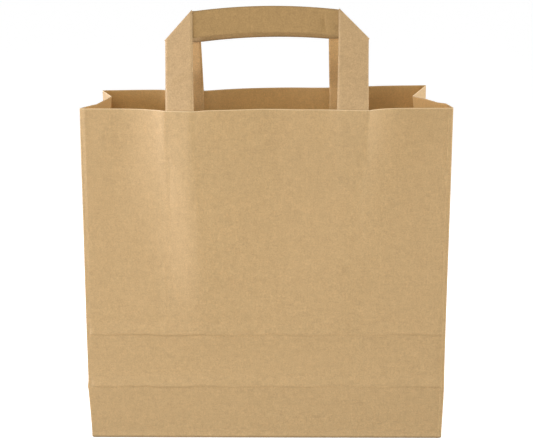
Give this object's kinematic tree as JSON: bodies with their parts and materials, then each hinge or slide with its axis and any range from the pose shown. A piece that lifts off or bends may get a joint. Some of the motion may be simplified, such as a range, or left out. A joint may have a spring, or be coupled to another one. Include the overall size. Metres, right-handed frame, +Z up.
{
  "type": "paper carrier bag",
  "caption": "Open block-bottom kraft paper carrier bag with folded side gussets and two flat folded paper handles glued inside the rim.",
  "frame": {"origin": "middle of the base, on the surface that the bag stands on", "axes": "+Z up, -Y towards the front panel, X along the bag's width"},
  "size_m": [0.2819, 0.1591, 0.3403],
  "materials": {
    "bag_paper": "matt uncoated brown kraft paper",
    "handle_paper": "matt brown kraft paper strip of several plies",
    "patch_paper": "matt brown kraft paper"
  },
  "bodies": {
    "root": {"bag_body": "bag_paper", "front_handle": "handle_paper", "rear_handle": "handle_paper", "front_handle_patch": "patch_paper", "rear_handle_patch": "patch_paper"}
  },
  "joints": []
}
